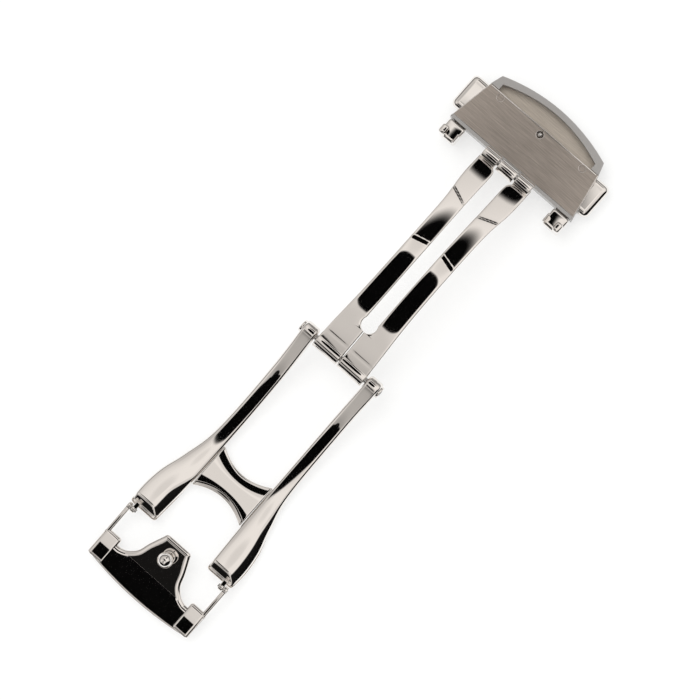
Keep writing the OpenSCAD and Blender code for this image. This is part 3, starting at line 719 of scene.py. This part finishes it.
def studio_world():
    """Near-white tent for the camera and the light; in reflections it is warm white with the dark spots,
    and darker towards the table."""
    world = bpy.data.worlds.new("studio")
    bpy.context.scene.world = world
    world.use_nodes = True
    tree = world.node_tree
    sky = add_node(tree, "ShaderNodeTexCoord").outputs["Generated"]
    split = add_node(tree, "ShaderNodeSeparateXYZ", (), [(0, sky)])
    fade = {"interpolation_type": "SMOOTHSTEP", "From Min": LOW, "From Max": HIGH, "To Min": LOW_SHARE}
    level = add_node(tree, "ShaderNodeMapRange", fade, [("Value", split.outputs["Z"])])
    for azimuth, elevation, inner, outer, left in DARK_SPOTS:
        towards = {"operation": "DOT_PRODUCT", 1: direction(azimuth, elevation)}
        near = add_node(tree, "ShaderNodeVectorMath", towards, [(0, sky)])
        fade = {"interpolation_type": "SMOOTHSTEP", "To Min": 1.0, "To Max": left,
                "From Min": cos(radians(outer)), "From Max": cos(radians(inner))}
        spot = add_node(tree, "ShaderNodeMapRange", fade, [("Value", near.outputs["Value"])])
        level = add_node(tree, "ShaderNodeMath", {"operation": "MULTIPLY"}, [(0, level), (1, spot)])
    tones = {"data_type": "RGBA", 6: linear("#000000"), 7: linear("#F7F3EF")}
    tone = add_node(tree, "ShaderNodeMix", tones, [(0, level)])
    glossy = add_node(tree, "ShaderNodeLightPath").outputs["Is Glossy Ray"]
    plain = {"data_type": "RGBA", 6: linear("#F3F3F3")}
    pick = add_node(tree, "ShaderNodeMix", plain, [(0, glossy), (7, tone.outputs[2])])
    tree.links.new(tree.nodes["Background"].inputs["Color"], pick.outputs[2])


# Black cards above the clasp, in mm: (height, middle x, middle y, half length, half width, soft edge,
# slant of y per x, power of the outline, share of the half length kept towards -X)
CARDS = [
    (60, -38.4, 5.5, 10.5, 20, 0.06, 0.9, 2.2, 1.4),
    (60, 10.7, 4, 16.3, 12, 0.05, 0.0, 3.0, 1.4),
    (60, 34.5, 4, 21, 13, 0.3, -0.15, 2.0, 0.0),
    (60, 100, 8, 13, 18, 0.3, 0.0, 2.5, 1.4),
    (160, -97, 11, 10.5, 28, 0.1, 0.0, 6.0, 1.4),
]
CARD_MARGIN = 1.4


def black_card(number, height, x, y, half_x, half_y, soft, slant, power, kept):
    """Card with rounded corners and a soft edge that only reflections show. With dx and dy from its middle
    it is black where |dx / half_x|^power + |(dy - slant dx) / half_y|^power is under 1, and it fades out
    between 1 - 2 soft and 1 + 2 soft."""
    mesh = bpy.data.meshes.new(f"card_{number}")
    out_y = CARD_MARGIN * (half_y + abs(slant) * half_x)
    left, right, front, back = x - kept * half_x, x + CARD_MARGIN * half_x, y - out_y, y + out_y
    flat = [(left, front), (right, front), (right, back), (left, back)]
    mesh.from_pydata([(a * MM, b * MM, height * MM) for a, b in flat], [], [(0, 1, 2, 3)])
    values = {"Base Color": linear("#050505"), "Roughness": 1.0, "Specular IOR Level": 0.0}
    material, tree, shader = new_material(f"black_card_{number}", values)
    place = add_node(tree, "ShaderNodeTexCoord").outputs["Object"]
    middle = {"operation": "SUBTRACT", 1: (x * MM, y * MM, height * MM)}
    off = add_node(tree, "ShaderNodeVectorMath", middle, [(0, place)])
    terms = []
    for along in ((1 / half_x, 0, 0), (-slant / half_y, 1 / half_y, 0)):
        share = {"operation": "DOT_PRODUCT", 1: [part / MM for part in along]}
        term = add_node(tree, "ShaderNodeVectorMath", share, [(0, off)]).outputs["Value"]
        term = add_node(tree, "ShaderNodeMath", {"operation": "ABSOLUTE"}, [(0, term)])
        terms.append(add_node(tree, "ShaderNodeMath", {"operation": "POWER", 1: power}, [(0, term)]))
    total = add_node(tree, "ShaderNodeMath", {"operation": "ADD"}, list(enumerate(terms)))
    fade = {"interpolation_type": "SMOOTHSTEP", "To Min": 1.0, "To Max": 0.0,
            "From Min": 1 - 2 * soft, "From Max": 1 + 2 * soft}
    cover = add_node(tree, "ShaderNodeMapRange", fade, [("Value", total)])
    tree.links.new(shader.inputs["Alpha"], cover.outputs[0])
    mesh.materials.append(material)
    card = bpy.data.objects.new(f"card_{number}", mesh)
    bpy.context.scene.collection.objects.link(card)
    card.visible_camera = card.visible_diffuse = card.visible_shadow = False


def photo_camera():
    """Camera almost straight above, turned so that the clasp runs from lower left to upper right."""
    data = bpy.data.cameras.new("photo_camera")
    data.lens, data.sensor_width = 154.2, 36.0
    data.clip_start, data.clip_end = 0.01, 10.0
    camera = bpy.data.objects.new("photo_camera", data)
    bpy.context.scene.collection.objects.link(camera)
    place = Vector((-6.13, -30.75, 448.9)) * MM
    aim = Vector((0.76, 0.04, 4.0)) * MM
    back = (place - aim).normalized()
    up = Vector((0.7512, 0.6576, 0.0571))
    right = up.cross(back).normalized()
    up = back.cross(right)
    camera.matrix_world = Matrix.Translation(place) @ Matrix((right, up, back)).transposed().to_4x4()
    bpy.context.scene.camera = camera


def soft_light():
    """One large soft lamp from the upper left, for the faint shadow."""
    data = bpy.data.lights.new("soft_light", "AREA")
    data.shape, data.size, data.energy = "DISK", 0.5, 1.2
    lamp = bpy.data.objects.new("soft_light", data)
    lamp.visible_glossy = False
    lamp.location = (0.05, 0.25, 0.6)
    lamp.rotation_mode = "QUATERNION"
    lamp.rotation_quaternion = Vector(lamp.location).to_track_quat("Z", "Y")
    bpy.context.scene.collection.objects.link(lamp)


stage_floor()
studio_world()
for number, card in enumerate(CARDS):
    black_card(number, *card)
photo_camera()
soft_light()
bpy.context.scene.view_settings.view_transform = "Standard"
